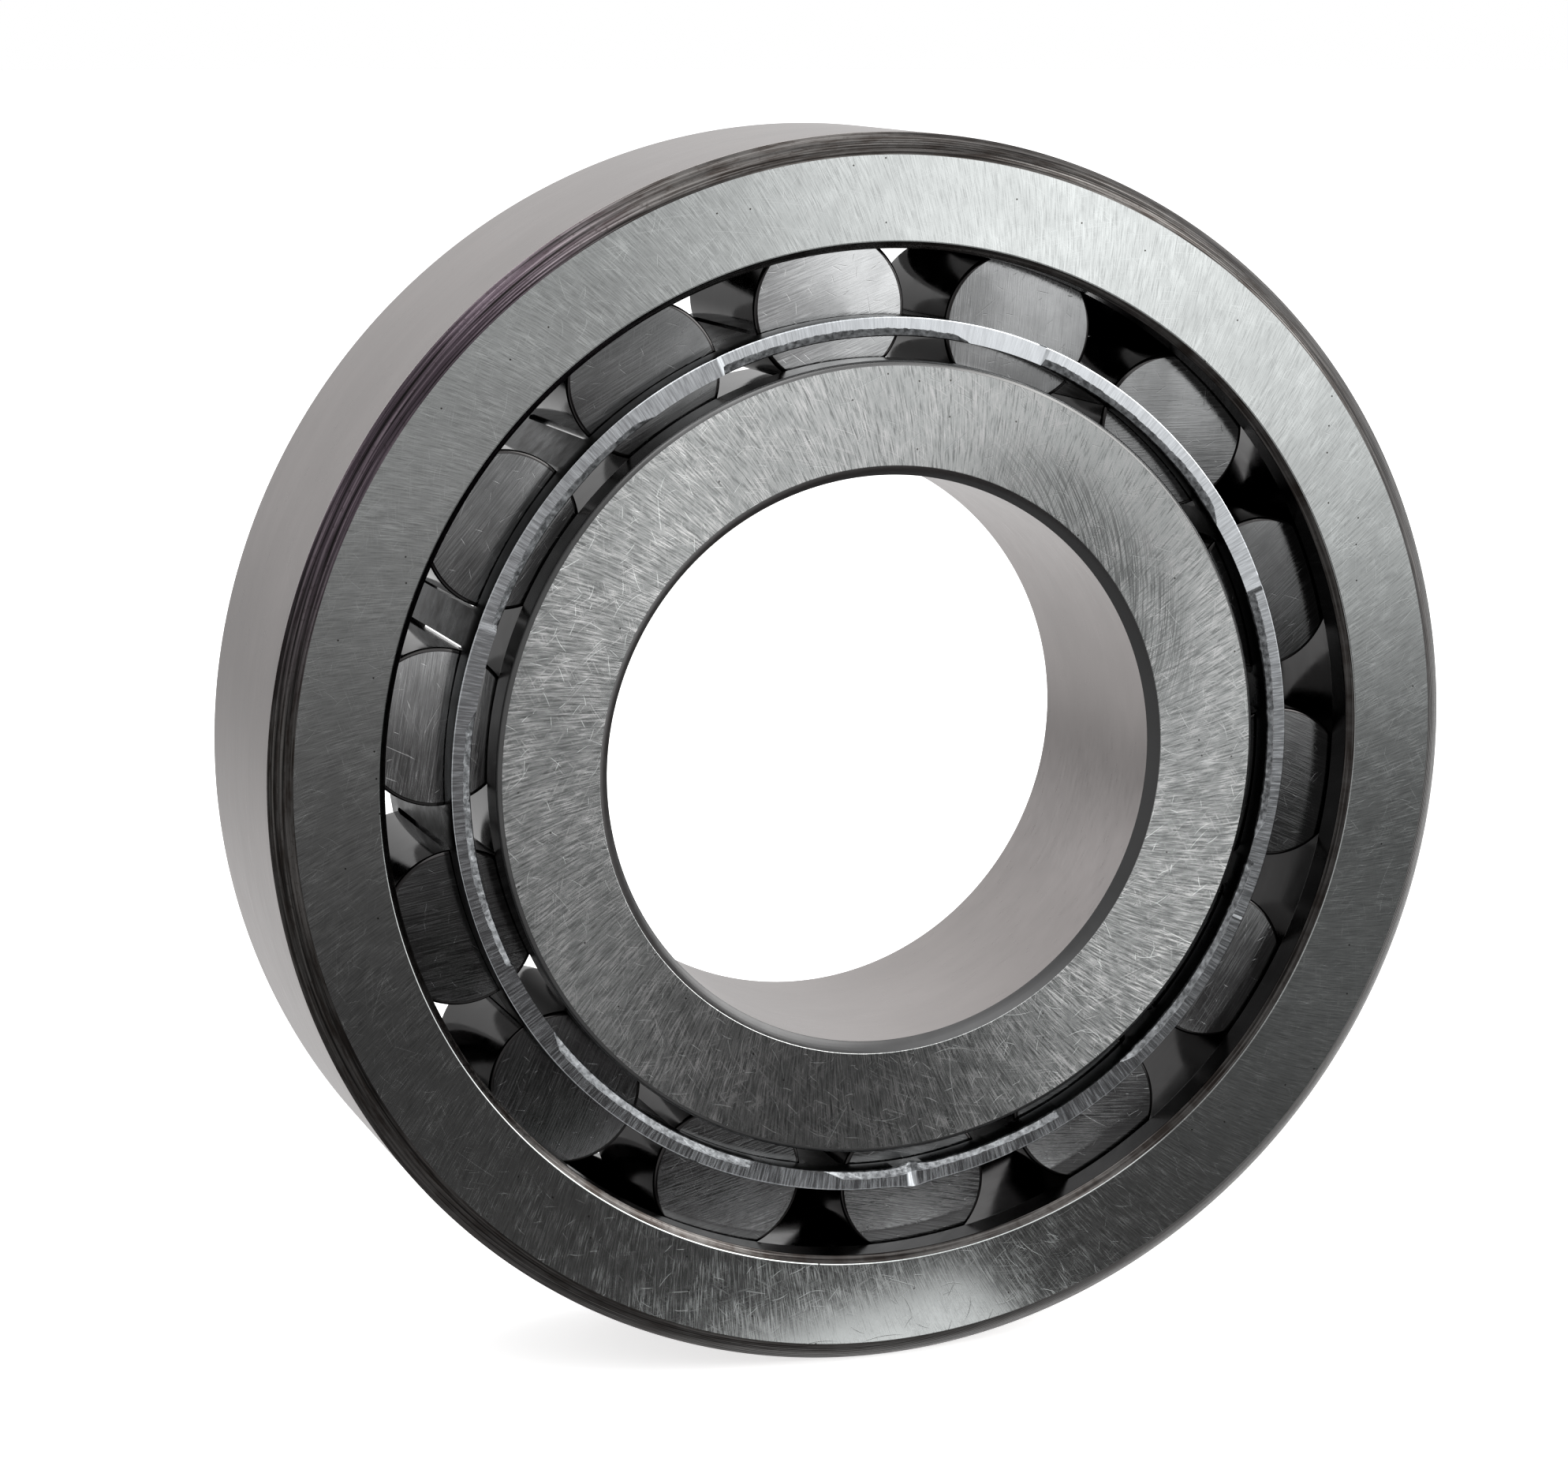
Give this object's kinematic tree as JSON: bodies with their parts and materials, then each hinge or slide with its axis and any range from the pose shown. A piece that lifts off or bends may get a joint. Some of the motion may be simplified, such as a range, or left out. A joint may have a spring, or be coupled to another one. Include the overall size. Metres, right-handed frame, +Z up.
{
  "type": "cylindrical roller bearing",
  "caption": "Cylindrical roller bearing: outer ring ribbed at both faces, inner ring ribbed at the front, pressed window cage, and steel rollers that roll as the inner ring turns.",
  "frame": {"origin": "centre of the bearing: on its axis, midway between the ring faces", "axes": "+Y along the bearing's axis towards its rear face, +Z up, +X to the right seen from the front"},
  "size_m": [0.13, 0.031, 0.13],
  "materials": {
    "ring_steel": "ground through-hardened steel, lightly scratched",
    "roller_steel": "mirror-ground sides, cross-ground ends",
    "cage_steel": "pressed steel with sheared edges"
  },
  "bodies": {
    "outer_ring": {"outer_ring": "ring_steel"},
    "inner_ring": {"inner_ring": "ring_steel"},
    "cage": {"cage": "cage_steel"},
    "roller_01": {"roller_01": "roller_steel"},
    "roller_02": {"roller_02": "roller_steel"},
    "roller_03": {"roller_03": "roller_steel"},
    "roller_04": {"roller_04": "roller_steel"},
    "roller_05": {"roller_05": "roller_steel"},
    "roller_06": {"roller_06": "roller_steel"},
    "roller_07": {"roller_07": "roller_steel"},
    "roller_08": {"roller_08": "roller_steel"},
    "roller_09": {"roller_09": "roller_steel"},
    "roller_10": {"roller_10": "roller_steel"},
    "roller_11": {"roller_11": "roller_steel"},
    "roller_12": {"roller_12": "roller_steel"},
    "roller_13": {"roller_13": "roller_steel"},
    "roller_14": {"roller_14": "roller_steel"}
  },
  "joints": [
    {"name": "inner_ring_spin", "type": "hinge", "parent": "outer_ring", "child": "inner_ring", "pos_m": [0, 0, 0], "axis": [0, 1, 0], "continuous": true},
    {"name": "cage_spin", "type": "hinge", "parent": "outer_ring", "child": "cage", "pos_m": [0, 0, 0], "axis": [0, 1, 0], "continuous": true},
    {"name": "roller_01_spin", "type": "hinge", "parent": "cage", "child": "roller_01", "pos_m": [0.04695, 0, -0.00576], "axis": [0, 1, 0], "continuous": true},
    {"name": "roller_02_spin", "type": "hinge", "parent": "cage", "child": "roller_02", "pos_m": [0.0448, 0, 0.01518], "axis": [0, 1, 0], "continuous": true},
    {"name": "roller_03_spin", "type": "hinge", "parent": "cage", "child": "roller_03", "pos_m": [0.03378, 0, 0.03311], "axis": [0, 1, 0], "continuous": true},
    {"name": "roller_04_spin", "type": "hinge", "parent": "cage", "child": "roller_04", "pos_m": [0.01607, 0, 0.04449], "axis": [0, 1, 0], "continuous": true},
    {"name": "roller_05_spin", "type": "hinge", "parent": "cage", "child": "roller_05", "pos_m": [-0.00483, 0, 0.04705], "axis": [0, 1, 0], "continuous": true},
    {"name": "roller_06_spin", "type": "hinge", "parent": "cage", "child": "roller_06", "pos_m": [-0.02476, 0, 0.0403], "axis": [0, 1, 0], "continuous": true},
    {"name": "roller_07_spin", "type": "hinge", "parent": "cage", "child": "roller_07", "pos_m": [-0.0398, 0, 0.02556], "axis": [0, 1, 0], "continuous": true},
    {"name": "roller_08_spin", "type": "hinge", "parent": "cage", "child": "roller_08", "pos_m": [-0.04695, 0, 0.00576], "axis": [0, 1, 0], "continuous": true},
    {"name": "roller_09_spin", "type": "hinge", "parent": "cage", "child": "roller_09", "pos_m": [-0.0448, 0, -0.01518], "axis": [0, 1, 0], "continuous": true},
    {"name": "roller_10_spin", "type": "hinge", "parent": "cage", "child": "roller_10", "pos_m": [-0.03378, 0, -0.03311], "axis": [0, 1, 0], "continuous": true},
    {"name": "roller_11_spin", "type": "hinge", "parent": "cage", "child": "roller_11", "pos_m": [-0.01607, 0, -0.04449], "axis": [0, 1, 0], "continuous": true},
    {"name": "roller_12_spin", "type": "hinge", "parent": "cage", "child": "roller_12", "pos_m": [0.00483, 0, -0.04705], "axis": [0, 1, 0], "continuous": true},
    {"name": "roller_13_spin", "type": "hinge", "parent": "cage", "child": "roller_13", "pos_m": [0.02476, 0, -0.0403], "axis": [0, 1, 0], "continuous": true},
    {"name": "roller_14_spin", "type": "hinge", "parent": "cage", "child": "roller_14", "pos_m": [0.0398, 0, -0.02556], "axis": [0, 1, 0], "continuous": true}
  ],
  "couplings": [
    {"joint": "cage_spin", "follows": "inner_ring_spin", "ratio": 0.41068},
    {"joint": "roller_01_spin", "follows": "inner_ring_spin", "ratio": -2.7095},
    {"joint": "roller_02_spin", "follows": "inner_ring_spin", "ratio": -2.7095},
    {"joint": "roller_03_spin", "follows": "inner_ring_spin", "ratio": -2.7095},
    {"joint": "roller_04_spin", "follows": "inner_ring_spin", "ratio": -2.7095},
    {"joint": "roller_05_spin", "follows": "inner_ring_spin", "ratio": -2.7095},
    {"joint": "roller_06_spin", "follows": "inner_ring_spin", "ratio": -2.7095},
    {"joint": "roller_07_spin", "follows": "inner_ring_spin", "ratio": -2.7095},
    {"joint": "roller_08_spin", "follows": "inner_ring_spin", "ratio": -2.7095},
    {"joint": "roller_09_spin", "follows": "inner_ring_spin", "ratio": -2.7095},
    {"joint": "roller_10_spin", "follows": "inner_ring_spin", "ratio": -2.7095},
    {"joint": "roller_11_spin", "follows": "inner_ring_spin", "ratio": -2.7095},
    {"joint": "roller_12_spin", "follows": "inner_ring_spin", "ratio": -2.7095},
    {"joint": "roller_13_spin", "follows": "inner_ring_spin", "ratio": -2.7095},
    {"joint": "roller_14_spin", "follows": "inner_ring_spin", "ratio": -2.7095}
  ]
}
